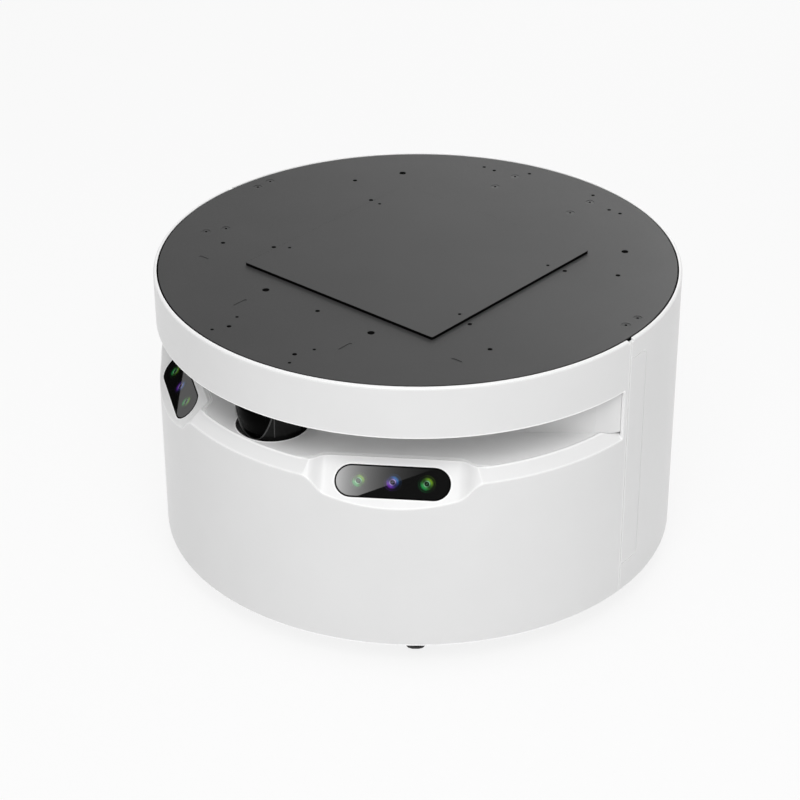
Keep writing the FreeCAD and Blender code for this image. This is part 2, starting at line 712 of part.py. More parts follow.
def tapped(name, places):
    """Screw holes down from the underside of the deck."""
    return [cyl("%s_tap%d" % (name, i), "screw_radius + running_gap", "screw_length",
                (x, y, "%s - screw_length" % DECK_BOTTOM)) for i, (x, y) in enumerate(places)]


def side_stay(name, sign, places):
    """Upright angle between base and deck; its flanges point inwards."""
    web_x = "%d * (side_screw_x + stay_inset)" % sign
    flange_x = "%d * (side_screw_x + stay_inset + plate_gauge / 2 - stay_width / 2)" % sign
    flange = ("stay_width", "stay_depth", "plate_gauge")
    web = box(name + "_web", ("plate_gauge", "stay_depth", POST_LENGTH), (web_x, "side_screw_y", BASE_TOP))
    top = box(name + "_top", flange, (flange_x, "side_screw_y", "%s - plate_gauge" % DECK_BOTTOM))
    foot = box(name + "_foot", flange, (flange_x, "side_screw_y", BASE_TOP))
    return cut(name, fuse(name + "_raw", [web, top, foot]), tapped(name, places))


def rear_stay(name, sign, places):
    """Milled upright, channelled on its outer side between two solid ends."""
    post = box(name + "_post", ("rear_stay_width", "rear_stay_depth", POST_LENGTH),
               ("%d * rear_screw_x" % sign, "rear_screw_y", BASE_TOP))
    channel = box(name + "_channel",
                  ("rear_stay_width", "2 * rear_stay_depth", "%s - 2 * rear_stay_end" % POST_LENGTH),
                  ("%d * (rear_screw_x + rear_stay_web)" % sign, "rear_screw_y",
                   "%s + rear_stay_end" % BASE_TOP))
    return cut(name, post, tapped(name, places) + [channel])


stays = []
for i, (side, sign) in enumerate(SIDES):
    stays.append(side_stay("side_stay_" + side, sign, SIDE_SPOTS[2 * i:2 * i + 2]))
    stays.append(rear_stay("rear_stay_" + side, sign, REAR_SPOTS[2 * i:2 * i + 2]))

hanger_frame = (("-hanger_screw_x", "-hanger_screw_y", CEILING), ("hanger_screw_turn", "0", "0"))
HANGER_RISE = "(%s - %s)" % (DECK_BOTTOM, CEILING)
hanger_plate = ("hanger_length", "hanger_width", "plate_gauge")
hanger_parts = [box("hanger_foot", hanger_plate, frame=hanger_frame),
                box("hanger_top", hanger_plate, ("0", "0", "%s - plate_gauge" % HANGER_RISE),
                    frame=hanger_frame)]
hanger_parts += [box("hanger_leg%d" % i, ("plate_gauge", "hanger_width", HANGER_RISE),
                     (k + " * (hanger_length - plate_gauge) / 2", "0", "0"), frame=hanger_frame)
                 for i, k in enumerate(PAIR)]
bay_hanger = cut("bay_hanger", fuse("hanger_raw", hanger_parts), tapped("hanger", HANGER_SPOTS))

# ------------------------------------------------------------------ cameras
EAR_X = "(window_length / 2 + ear_gap + cradle_gauge / 2)"
CRADLE_LOW = "(window_thickness + housing_depth + cradle_gauge)"
cameras = []
for side, sign in SIDES:
    frame = pod_frame(sign)
    glass = stadium("glass_" + side, "window_length", "window_height", "window_thickness",
                    "-window_thickness", sign)
    lens_holes = []
    lens_parts = []
    for i, k in enumerate(("-1", "0", "1")):
        at = (k + " * lens_pitch", "window_offset", "-window_thickness")
        lens_holes.append(cyl("lens_hole_%s%d" % (side, i), "lens_radius + running_gap",
                              "2 * window_thickness", at, frame=frame))
        lens_parts.append(cyl("lens_body_%s%d" % (side, i), "lens_radius",
                              "window_thickness - lens_sink", at, frame=frame))
    window = cut("camera_window_" + side, glass, lens_holes)
    lenses = group("camera_lenses_" + side, lens_parts)
    housing = rounded("camera_housing_" + side,
                      ("window_length - 2 * housing_corner", "housing_height", "housing_depth"),
                      "housing_corner", ("0", "window_offset", "-window_thickness - housing_depth"),
                      frame=frame)
    back = box("camera_back_" + side,
               ("window_length + 2 * (ear_gap + cradle_gauge)", "housing_height", "cradle_gauge"),
               ("0", "window_offset", "-" + CRADLE_LOW), frame=frame)
    ears = [box("camera_ear_%s%d" % (side, i),
                ("cradle_gauge", "housing_height", "%s - shell_wall" % CRADLE_LOW),
                ("%s * %s" % (k, EAR_X), "window_offset", "-" + CRADLE_LOW), frame=frame)
            for i, k in enumerate(PAIR)]
    cameras += [window, lenses, housing, fuse("camera_cradle_" + side, [back] + ears)]

# ------------------------------------------------------------------ lidar
LIDAR = ("0", "-lidar_offset")
pedestal_top = box("pedestal_top", ("pedestal_length", "pedestal_width", "plate_gauge"),
                   LIDAR + ("lidar_base_bottom - plate_gauge",))
pedestal_legs = [box("pedestal_leg%d" % i,
                     ("plate_gauge", "pedestal_width", "lidar_base_bottom - %s" % BASE_TOP),
                     (k + " * (pedestal_length - plate_gauge) / 2", "-lidar_offset", BASE_TOP))
                 for i, k in enumerate(PAIR)]
lidar_pedestal = fuse("lidar_pedestal", [pedestal_top] + pedestal_legs)
lidar_drum = cyl("lidar_drum", "lidar_base_radius", "lidar_base_top - lidar_base_bottom",
                 LIDAR + ("lidar_base_bottom",))
lidar_sink = cyl("lidar_sink", "lidar_spindle_radius + running_gap", "2 * lidar_spindle_depth",
                 LIDAR + ("lidar_base_top - lidar_spindle_depth - lidar_sink_slack",))
lidar_base = cut("lidar_base", lidar_drum, [lidar_sink])
lidar_bowl = turned("lidar_bowl", [
    ("0", "-lidar_spindle_depth"), ("lidar_spindle_radius", "-lidar_spindle_depth"),
    ("lidar_spindle_radius", "0"), ("lidar_foot_radius", "0"),
    ("lidar_waist_radius", "lidar_waist_height"), ("lidar_brow_radius", "lidar_brow_height"),
    ("lidar_head_radius", "lidar_full_height")]
    + bend("(lidar_head_radius - lidar_head_round)", "(lidar_head_height - lidar_head_round)",
           "lidar_head_round", 0, 90) + [("0", "lidar_head_height")],
    at=LIDAR + ("lidar_base_top + fit_gap",))
lidar_bowl.Label = "lidar_head"


# ------------------------------------------------------------------ drive modules
def tread(outer, inner, width, rounding):
    """Half section of a round-shouldered tyre, as radius and place along the axle."""
    x, z = "(%s - %s)" % (outer, rounding), "(%s / 2 - %s)" % (width, rounding)
    return ([(inner, "-%s / 2" % width)] + bend(x, "-" + z, rounding, -90, 0)
            + bend(x, z, rounding, 0, 90) + [(inner, "%s / 2" % width)])


spring_line = [("guide_radius + fit_gap", "0"), ("spring_radius", "0"),
               ("spring_radius", "spring_length"), ("guide_radius + fit_gap", "spring_length")]
HUB_HOLES = round(SIZES["hub_hole_count"])
HUB_FACE = "(hub_width / 2 - hub_recess)"
INNER_FACE = "(track_half - tyre_width / 2 - wheel_clearance + motor_gap)"
WEB_SEAT = "(%s - track_half)" % INNER_FACE
LUG_TOP = "(lug_bottom + lug_height)"
CAP_LEVEL = "(%s + spring_length)" % LUG_TOP
drives = []
for side, sign in SIDES:
    s = "%d * " % sign
    wheel = ((s + "track_half", "0", "tyre_radius"), ("0", "%d * 90" % sign, "0"))
    tyre = turned("drive_tyre_" + side, tread("tyre_radius", "hub_radius", "tyre_width", "tyre_round"),
                  frame=wheel)
    bore = "axle_radius + running_gap"
    disc = turned("hub_disc_" + side, [
        (bore, "-hub_width / 2"), ("hub_boss_radius", "-hub_width / 2"),
        ("hub_boss_radius", "-" + HUB_FACE), ("hub_radius - hub_rim", "-" + HUB_FACE),
        ("hub_radius - hub_rim", "-hub_width / 2"), ("hub_radius", "-hub_width / 2"),
        ("hub_radius", "hub_width / 2"), ("hub_radius - hub_rim", "hub_width / 2"),
        ("hub_radius - hub_rim", HUB_FACE), ("hub_boss_radius", HUB_FACE),
        ("hub_boss_radius", "hub_width / 2"), (bore, "hub_width / 2")], frame=wheel)
    hub_holes = [cyl("hub_hole_%s%d" % (side, i), "hub_hole_radius", "2 * hub_width",
                     ("hub_hole_circle * cos(%d * 360 / %d)" % (i, HUB_HOLES),
                      "hub_hole_circle * sin(%d * 360 / %d)" % (i, HUB_HOLES), "-hub_width"),
                     frame=wheel) for i in range(HUB_HOLES)]
    hub = cut("drive_hub_" + side, disc, hub_holes)
    axle = turned("drive_axle_" + side, [
        ("0", "%s - carriage_plate - axle_overrun" % WEB_SEAT),
        ("axle_radius - axle_play", "%s - carriage_plate - axle_overrun" % WEB_SEAT),
        ("axle_radius - axle_play", WEB_SEAT), ("axle_seat_radius", WEB_SEAT),
        ("axle_seat_radius", "-hub_width / 2 - fit_gap"), ("axle_radius", "-hub_width / 2 - fit_gap"),
        ("axle_radius", "hub_width / 2 + axle_overrun"), ("0", "hub_width / 2 + axle_overrun")], frame=wheel)
    y, c = "carriage_width / 2", "carriage_corner"
    web = padded("carriage_web_" + side, [
        ("%s - %s" % (y, c), "carriage_bottom", c, 1), (y, "carriage_bottom + " + c),
        (y, "carriage_top"), ("-" + y, "carriage_top"), ("-" + y, "carriage_bottom + " + c, c, 1),
        ("%s - %s" % (c, y), "carriage_bottom")], "carriage_plate", "YZ_Plane", True,
        at=(s + "(%s - carriage_plate / 2)" % INNER_FACE, "0", "0"))
    lug_x = s + "(%s - carriage_plate - lug_reach / 2)" % INNER_FACE
    lug = box("carriage_lug_" + side, ("lug_reach", "carriage_width", "lug_height"),
              (lug_x, "0", "lug_bottom"))
    bores = [cyl("carriage_axle_bore_" + side, "axle_radius", "4 * carriage_plate",
                 ("0", "0", "%s - 3 * carriage_plate" % WEB_SEAT), frame=wheel)]
    guides = []
    springs = []
    for i, k in enumerate(PAIR):
        spot = (lug_x, k + " * guide_pitch / 2")
        bores.append(cyl("guide_bore_%s%d" % (side, i), "guide_radius + running_gap",
                         "2 * lug_height", spot + ("lug_bottom - lug_height / 2",)))
        rod = cyl("guide_rod_%s%d" % (side, i), "guide_radius", "%s - %s" % (CAP_LEVEL, BASE_TOP),
                  spot + (BASE_TOP,))
        stop = cyl("guide_stop_%s%d" % (side, i), "guide_shoulder", "lug_bottom - %s" % BASE_TOP,
                   spot + (BASE_TOP,))
        cap = cyl("guide_cap_%s%d" % (side, i), "guide_cap_radius", "guide_cap_height",
                  spot + (CAP_LEVEL,))
        guides.append(fuse("guide_%s%d" % (side, i), [rod, stop, cap]))
        springs.append(turned("spring_%s%d" % (side, i), spring_line, at=spot + (LUG_TOP,)))
    carriage = cut("drive_carriage_" + side, fuse("carriage_raw_" + side, [web, lug]), bores)
    drives += [tyre, hub, axle, carriage, group("drive_guides_" + side, guides),
               group("drive_springs_" + side, springs)]

# ------------------------------------------------------------------ casters
CROWN = "(2 * caster_wheel_radius + caster_wheel_gap)"
CUP_LOW = "(%s + plate_gauge + fit_gap)" % CROWN
FLANGE_LOW = "(base_bottom - plate_gauge)"
FORK_WIDTH = "(caster_wheel_width + 2 * (caster_side_gap + fork_wall))"
CROWN_Y = "((fork_foot_radius - fork_top_width) / 2 + fork_foot_radius)"
casters = []
for fore, angle in (("front", "caster_angle"), ("rear", "180 - caster_angle")):
    for side, sign in SIDES:
        name = "caster_%s_%s_" % (fore, side)
        turn = "%d * (%s)" % (sign, angle)
        frame = (("caster_circle * sin(%s)" % turn, "-caster_circle * cos(%s)" % turn, "0"),
                 (turn, "0", "0"))
        axle_at = ("0", "-caster_trail", "caster_wheel_radius")
        flange = box(name + "flange", ("caster_plate_side", "caster_plate_side", "plate_gauge"),
                     ("0", "0", FLANGE_LOW), frame=frame)
        cup = cyl(name + "cup", "caster_cup_radius", "%s - %s" % (FLANGE_LOW, CUP_LOW),
                  ("0", "0", CUP_LOW), frame=frame)
        stem_bore = cyl(name + "stem_bore", "stem_radius + running_gap", "base_bottom", frame=frame)
        mount = cut(name + "mount", fuse(name + "mount_raw", [flange, cup]), [stem_bore])
        crown = box(name + "crown", (FORK_WIDTH, "fork_top_width", "plate_gauge"),
                    ("0", CROWN_Y, CROWN), frame=frame)
        stem = cyl(name + "stem", "stem_radius", "base_bottom - 1 - " + CROWN, ("0", "0", CROWN),
                   frame=frame)
        leg_line = bend("-caster_trail", "caster_wheel_radius", "fork_foot_radius", 180, 360)
        leg_line += [("%s + fork_top_width / 2" % CROWN_Y, "%s + plate_gauge" % CROWN),
                     ("%s - fork_top_width / 2" % CROWN_Y, "%s + plate_gauge" % CROWN)]
        legs = [padded(name + "leg%d" % i, leg_line, "fork_wall", "YZ_Plane", True,
                       at=("%s * (%s - fork_wall) / 2" % (k, FORK_WIDTH), "0", "0"), frame=frame)
                for i, k in enumerate(PAIR)]
        pin_hole = cyl(name + "pin_hole", "caster_axle_radius + running_gap", "2 * " + FORK_WIDTH,
                       ("-" + FORK_WIDTH,) + axle_at[1:], ("0", "90", "0"), frame=frame)
        fork = cut(name + "fork", fuse(name + "fork_raw", [crown, stem] + legs), [pin_hole])
        wheel = turned(name + "wheel", tread("caster_wheel_radius",
                                             "(caster_axle_radius + running_gap)",
                                             "caster_wheel_width", "caster_tread_round"))
        place(wheel, axle_at, ("0", "90", "0"), frame)
        pin = cyl(name + "axle", "caster_axle_radius", "%s + 2 * fit_gap" % FORK_WIDTH,
                  ("-%s / 2 - fit_gap" % FORK_WIDTH,) + axle_at[1:], ("0", "90", "0"), frame=frame)
        casters += [mount, fork, wheel, pin]

# ------------------------------------------------------------------ inner units
battery = rounded("battery", ("battery_length", "battery_width", "battery_height"), "unit_corner",
                  at=("0", "0", BASE_TOP))
controller = rounded("controller", ("controller_length", "controller_width", "controller_height"),
                     "unit_corner", at=("0", "battery_width / 2 + controller_width / 2 + unit_gap",
                                        BASE_TOP))
DRIVER_Y = "(-battery_width / 2 - driver_width / 2 - unit_gap)"
FINS = round(SIZES["fin_count"])
FIN_PITCH = "(driver_width / %d)" % FINS
driver_block = rounded("driver_block", ("driver_length", "driver_width", "driver_height"),
                       "unit_corner", at=("0", DRIVER_Y, BASE_TOP))
fin_gaps = [box("fin_gap%d" % i, ("2 * driver_length", "%s - fin_width" % FIN_PITCH, "2 * fin_height"),
                ("0", "%s + (%d - %d / 2) * %s" % (DRIVER_Y, i, FINS, FIN_PITCH),
                 "%s + driver_height - fin_height" % BASE_TOP)) for i in range(1, FINS)]
motor_driver = cut("motor_driver", driver_block, fin_gaps)

# ------------------------------------------------------------------ rear fittings
flange = cyl("bezel_flange", "bezel_radius", "bezel_flange", ("0", "body_radius - fit_gap", "button_height"),
             BACKWARD)
barrel = cyl("bezel_barrel", "button_radius + bezel_wall", "bezel_depth",
             ("0", BEZEL_SEAT, "button_height"), BACKWARD)
bezel_bore = cyl("bezel_bore", "button_radius + button_play", "4 * bezel_depth",
                 ("0", "body_radius + bezel_depth", "button_height"), BACKWARD)
bezel_back = cyl("bezel_back", "button_radius + bezel_wall", "bezel_wall",
                 ("0", "%s - bezel_depth" % BEZEL_SEAT, "button_height"), BACKWARD)
button_bezel = fuse("button_bezel", [cut("bezel_ring", fuse("bezel_raw", [flange, barrel]),
                                         [bezel_bore]), bezel_back])
power_button = cyl("power_button", "button_radius", "button_depth",
                   ("0", "body_radius - 2 * fit_gap", "button_height"), BACKWARD)
carrier = box("contact_block", ("contact_length - 2 * fit_gap", "contact_depth",
                                "contact_width - 2 * fit_gap"),
              ("0", "body_radius - contact_sink - contact_depth / 2",
               "contact_height - contact_width / 2 + fit_gap"))
contact_cuts = []
contact_parts = []
for i, k in enumerate(PAIR):
    x = k + " * contact_length / 4"
    face = "body_radius - contact_sink"
    contact_cuts.append(box("contact_pocket%d" % i,
                            ("strip_length + 2 * strip_play", "2 * (strip_thickness - fit_gap)",
                             "strip_width + 2 * strip_play"),
                            (x, face, "contact_height - strip_width / 2 - strip_play")))
    contact_parts.append(box("contact_strip%d" % i, ("strip_length", "strip_thickness", "strip_width"),
                             (x, "%s + fit_gap - strip_thickness / 2" % face,
                              "contact_height - strip_width / 2")))
contact_carrier = cut("contact_carrier", carrier, contact_cuts)
charge_contacts = group("charge_contacts", contact_parts)

# ------------------------------------------------------------------ nodes
NODES = [deck_plate, deck_cover, deck_screws, cover_screws, front_shell, rear_shell, lidar_bay,
         base_plate, deck_posts, bay_hanger, lidar_pedestal, lidar_base, lidar_bowl, battery,
         controller, motor_driver, button_bezel, power_button, contact_carrier, charge_contacts]
NODES += stays + cameras + drives + casters

doc.recompute()
for obj in doc.Objects:
    if "Invalid" in obj.State or "Error" in obj.State:
        raise RuntimeError("broken feature: " + obj.Label)
os.makedirs("parts", exist_ok=True)
for obj in NODES:
    shape = obj.Shape
    if shape.isNull() or not shape.isValid():
        raise RuntimeError("bad shape: " + obj.Label)
    shape.exportStep("parts/%s.step" % obj.Label)
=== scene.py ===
import json
import math

import bpy
from mathutils import Matrix, Vector


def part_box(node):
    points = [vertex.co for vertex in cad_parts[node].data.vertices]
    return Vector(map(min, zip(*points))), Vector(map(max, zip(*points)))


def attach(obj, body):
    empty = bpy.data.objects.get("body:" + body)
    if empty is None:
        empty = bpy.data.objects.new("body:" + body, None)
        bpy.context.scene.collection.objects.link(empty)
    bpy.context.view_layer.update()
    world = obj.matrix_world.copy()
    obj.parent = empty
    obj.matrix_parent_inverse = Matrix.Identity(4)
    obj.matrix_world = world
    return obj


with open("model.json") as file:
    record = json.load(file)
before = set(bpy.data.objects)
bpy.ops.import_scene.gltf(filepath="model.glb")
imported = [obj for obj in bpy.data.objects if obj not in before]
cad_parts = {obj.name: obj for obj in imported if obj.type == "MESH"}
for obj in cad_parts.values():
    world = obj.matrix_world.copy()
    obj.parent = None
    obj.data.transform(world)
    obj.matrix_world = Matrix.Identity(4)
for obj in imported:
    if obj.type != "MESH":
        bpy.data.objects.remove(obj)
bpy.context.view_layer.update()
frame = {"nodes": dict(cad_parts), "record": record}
MM = 0.001

# places on the robot, in millimetres
BODY_RADIUS = 242
RIM_INNER = 239
DECK_RADIUS = 237.5
DECK_TOP = 284
COVER_HALF = 111.5
COVER_TOP = 286.5
COVER_CORNER = 1.5
POD_ANGLE = 35
POD_TILT = 45
POD_POINT = 164.7
WINDOW_LENGTH = 100
WINDOW_HEIGHT = 28.8
WINDOW_OFFSET = 23.8
LENS_PITCH = 29.5
LENS_RADIUS = 8
LENS_BACK = -0.3
LENS_FRONT = 0.04
LIDAR_Y = -197
WELL_RADIUS = 32.62
BAY_FLOOR = 197
LIDAR_HEAD_HEIGHT = 54
LIDAR_PROFILE = ((0, 20), (8, 23.5), (24, 29.5), (38, 31.9), (51, 31.9))
SIDES = (("left", 1), ("right", -1))

# dark sheets of painted shade (in the deck's gap, round the cover's sides, in the drilled holes and
# round the windows) and a ring of painted highlight on the well's edge, in millimetres
SHADE_GAP = 0.05
DECK_GAP_SHADE_LOW = 281.0
DECK_GAP_SHADE_HIGH = 283.2
COVER_SHADE_OUT = 0.35
COVER_SHADE_IN = 0.02
COVER_SHADE_BELOW = 0.15
WELL_HIGHLIGHT_WIDTH = 1.1
WELL_HIGHLIGHT_HEIGHT = 0.3
HOLE_SHADE_SHRINK = 0.05
HOLE_SHADE_DEPTHS = (0.6, 0.25)
WINDOW_SHADE_OUT = 0.3
WINDOW_SHADE_IN = 2.2
WINDOW_SHADE_LOW = 0.02
WINDOW_SHADE_HIGH = 0.12

# camera, in metres and degrees
CAMERA_AZIMUTH = 40.5
CAMERA_DISTANCE = 1.9183
CAMERA_HEIGHT = 1.2316
CAMERA_TILT = 60.2379
CAMERA_LENS = 104.64
CAMERA_SHIFT = -0.0222
SENSOR_WIDTH = 36

# floor, world and cards, in millimetres
FLOOR_REACH = 30000
FLOOR_CORNERS = ((-1, -1), (1, -1), (1, 1), (-1, 1))
FLOOR_COLOUR = 0.82
FLOOR_GLOW = 0.85
WORLD_LEVEL = 0.45
BACKDROP_LEVEL = 1.0
CARD_HEIGHT = 500

# drilled holes as x, y, radius, each repeated on the other side unless x is 0
HOLES = (
    (135.7, 135.8, 3.3), (62.8, -135.8, 3.3),
    (117.6, 68, 2.2), (117.6, -68, 2.2), (159.8, 92.1, 2.2), (159.8, -92.1, 2.2),
    (39, -206.9, 2.2), (0, -135.8, 2.2),
    (70.65, 199.5, 1.8), (83.55, 199.5, 1.8), (39.2, 216.1, 1.8),
    (46, -189.9, 1.6), (46, -220.7, 1.6),
)
COVER_HOLES = ((102, 63, 1.6), (102, -63, 1.6))


# ------------------------------------------------------------------ colours
def srgb(value):
    """Grey level 0..255 as a linear colour."""
    v = value / 255
    v = v / 12.92 if v <= 0.04045 else ((v + 0.055) / 1.055) ** 2.4
    return (v, v, v, 1)


def linear(r, g, b):
    """Colour 0..255 as a linear colour."""
    return tuple(srgb(v)[0] for v in (r, g, b)) + (1,)


# ------------------------------------------------------------------ materials
# painted reflection of a coated lens: its brightness by radius, and the level of its dimmer sides
LENS_REFLECTION_RINGS = ((0.0, 0.20), (0.10, 0.12), (0.16, 0.02), (0.24, 0.03), (0.31, 1.0), (0.38, 0.42),
              (0.50, 0.75), (0.62, 0.40), (0.74, 0.07), (0.84, 0.02), (0.92, 0.09), (0.97, 0.01),
              (1.0, 0.0))
LENS_SIDE_LEVEL = 0.22
LENS_BLEND = 6 * MM
LENS_BLACK = 4
BEVEL_SAMPLES = 6
# widths of the painted edge highlight and of the lower-edge glow, as multiples of the edge
# rounding, and the glow's level
EDGE_WIDTH = 3.5
LOWER_EDGE_WIDTH = 2.0
LOWER_EDGE_GLOW_LEVEL = 0.3
BROAD_SCALE = 9.0

# spans that ramps run over: noise, the turn of a normal at an edge, and how far normals tilt down
NOISE_SPAN = (0.3, 0.7)
EDGE_TURN = (0.996, 0.95)
DOWN_TILT = (-0.1, -0.3)
UPRIGHT_TILT = (-0.9, -0.7)
PUPIL_SPAN = (0.3, 0.45)
CRESCENT_SPAN = (0.0, 0.8)


class Maker:
    """Small helper that builds a node material with named steps."""

    def __init__(self, name):
        self.mat = bpy.data.materials.new(name)
        self.mat.use_nodes = True
        self.nodes = self.mat.node_tree.nodes
        self.links = self.mat.node_tree.links
        self.shader = self.nodes["Principled BSDF"]
        self.coords = self.nodes.new("ShaderNodeTexCoord")

    def feed(self, socket, value):
        """Links a socket to another one, or sets its value."""
        if isinstance(value, bpy.types.NodeSocket):
            self.links.new(value, socket)
        else:
            socket.default_value = value

    def set(self, **values):
        for key, value in values.items():
            self.shader.inputs[key.replace("_", " ")].default_value = value
        return self

    def node(self, kind, **inputs):
        node = self.nodes.new(kind)
        for key, value in inputs.items():
            self.feed(node.inputs[key.replace("_", " ")], value)
        return node

    def math(self, operation, a, b=0.0):
        node = self.nodes.new("ShaderNodeMath")
        node.operation = operation
        for socket, value in zip(node.inputs, (a, b)):
            self.feed(socket, value)
        return node.outputs["Value"]

    def noise(self, scale, detail=4.0, rough=0.55, stretch=None):
        source = self.coords.outputs["Object"]
        if stretch:
            source = self.node("ShaderNodeMapping", Vector=source, Scale=stretch).outputs["Vector"]
        return self.node("ShaderNodeTexNoise", Vector=source, Scale=scale, Detail=detail,
                         Roughness=rough).outputs["Fac"]

    def ramp(self, value, low, high, a, b):
        """Maps low..high to a..b, clamped."""
        return self.node("ShaderNodeMapRange", Value=value, From_Min=low, From_Max=high,
                         To_Min=a, To_Max=b).outputs["Result"]

    def mix(self, value, dark, light):
        """Blends two colours: 0 gives the first and 1 the second."""
        node = self.nodes.new("ShaderNodeMix")
        node.data_type = "RGBA"
        sockets = [s for s in node.inputs if s.enabled]
        for socket, given in zip(sockets, (value, dark, light)):
            self.feed(socket, given)
        return [s for s in node.outputs if s.enabled][0]

    def colour(self, value):
        self.links.new(value, self.shader.inputs["Base Color"])
        return self

    def rough(self, value):
        self.links.new(value, self.shader.inputs["Roughness"])
        return self

    def rounded_normal(self, radius):
        node = self.node("ShaderNodeBevel", Radius=radius)
        node.samples = BEVEL_SAMPLES
        return node.outputs["Normal"]

    def painted_edge_highlight(self, value, colour, radius):
        """Painted highlight: blends a light colour in along sharp edges, where rounded edges would
        catch the light.
        """
        rounded = self.rounded_normal(radius)
        flat = self.nodes.new("ShaderNodeNewGeometry")
        turn = self.nodes.new("ShaderNodeVectorMath")
        turn.operation = "DOT_PRODUCT"
        self.links.new(rounded, turn.inputs[0])
        self.links.new(flat.outputs["Normal"], turn.inputs[1])
        return self.mix(self.ramp(turn.outputs["Value"], *EDGE_TURN, 0.0, 1.0), value, colour)

    def painted_lower_edge_glow(self, level, radius):
        """Painted highlight: emission along the lower edges of upright faces, a glow in place of
        the light these edges would catch.
        """
        rounded = self.rounded_normal(radius)
        flat = self.nodes.new("ShaderNodeNewGeometry")
        tilt = self.node("ShaderNodeSeparateXYZ", Vector=rounded).outputs["Z"]
        face = self.node("ShaderNodeSeparateXYZ", Vector=flat.outputs["Normal"]).outputs["Z"]
        upright = self.ramp(face, *UPRIGHT_TILT, 0.0, 1.0)
        strength = self.math("MULTIPLY", self.ramp(tilt, *DOWN_TILT, 0.0, level), upright)
        self.links.new(strength, self.shader.inputs["Emission Strength"])
        self.set(Emission_Color=(1, 1, 1, 1))

    def bump(self, value, strength, distance=0.0005, round_edges=0.0):
        node = self.node("ShaderNodeBump", Height=value, Strength=strength, Distance=distance)
        if round_edges:
            self.links.new(self.rounded_normal(round_edges), node.inputs["Normal"])
        self.links.new(node.outputs["Normal"], self.shader.inputs["Normal"])
        if round_edges:
            self.links.new(node.outputs["Normal"], self.shader.inputs["Coat Normal"])
        return self


def surface(name, dark, light, rough_low, rough_high, grain, bump, stretch=None, round_edges=0.0,
            highlight_colour=None, **values):
    """Grained surface: its colour follows broad noise, its roughness and bump follow fine noise."""
    m = Maker(name)
    m.set(**values)
    broad = m.noise(BROAD_SCALE, 3.0)
    fine = m.noise(grain, 3.0, stretch=stretch)
    tone = m.mix(m.ramp(broad, *NOISE_SPAN, 0.0, 1.0), dark, light)
    # painted highlights: a light colour along sharp edges, and a glow along the lower edges of
    # upright faces
    if highlight_colour:
        tone = m.painted_edge_highlight(tone, highlight_colour, EDGE_WIDTH * round_edges)
        m.painted_lower_edge_glow(LOWER_EDGE_GLOW_LEVEL, LOWER_EDGE_WIDTH * round_edges)
    m.colour(tone)
    m.rough(m.ramp(fine, *NOISE_SPAN, rough_low, rough_high))
    m.bump(fine, bump, round_edges=round_edges)
    return m.mat


def painted_lens_reflection(name, inner, left, right):
    """Painted reflection of a coated lens: coloured crescents round a dark pupil, fading to a black
    edge.
    """
    m = Maker(name)
    m.set(Roughness=0.01)
    split = m.node("ShaderNodeSeparateXYZ", Vector=m.coords.outputs["Object"])
    x, y = split.outputs["X"], split.outputs["Y"]
    squared = m.math("ADD", m.math("MULTIPLY", x, x), m.math("MULTIPLY", y, y))
    radius = m.math("DIVIDE", m.math("SQRT", squared), LENS_RADIUS * MM)
    across = m.math("ADD", x, y)
    ring = m.mix(m.ramp(across, -LENS_BLEND, LENS_BLEND, 0.0, 1.0), left, right)
    crescent = m.math("DIVIDE", m.math("MULTIPLY", across, across),
                      m.math("MULTIPLY", squared, 2.0))
    strength = m.ramp(crescent, *CRESCENT_SPAN, LENS_SIDE_LEVEL, 1.0)
    band = m.nodes.new("ShaderNodeValToRGB")
    band.color_ramp.elements.remove(band.color_ramp.elements[1])
    for i, (place, level) in enumerate(LENS_REFLECTION_RINGS):
        stop = band.color_ramp.elements[0] if i == 0 else band.color_ramp.elements.new(place)
        stop.position = place
        stop.color = (level, level, level, 1)
    m.links.new(radius, band.inputs["Fac"])
    core = m.mix(m.ramp(radius, *PUPIL_SPAN, 0.0, 1.0), inner, ring)
    m.colour(m.mix(m.math("MULTIPLY", band.outputs["Color"], strength), srgb(LENS_BLACK), core))
    return m.mat


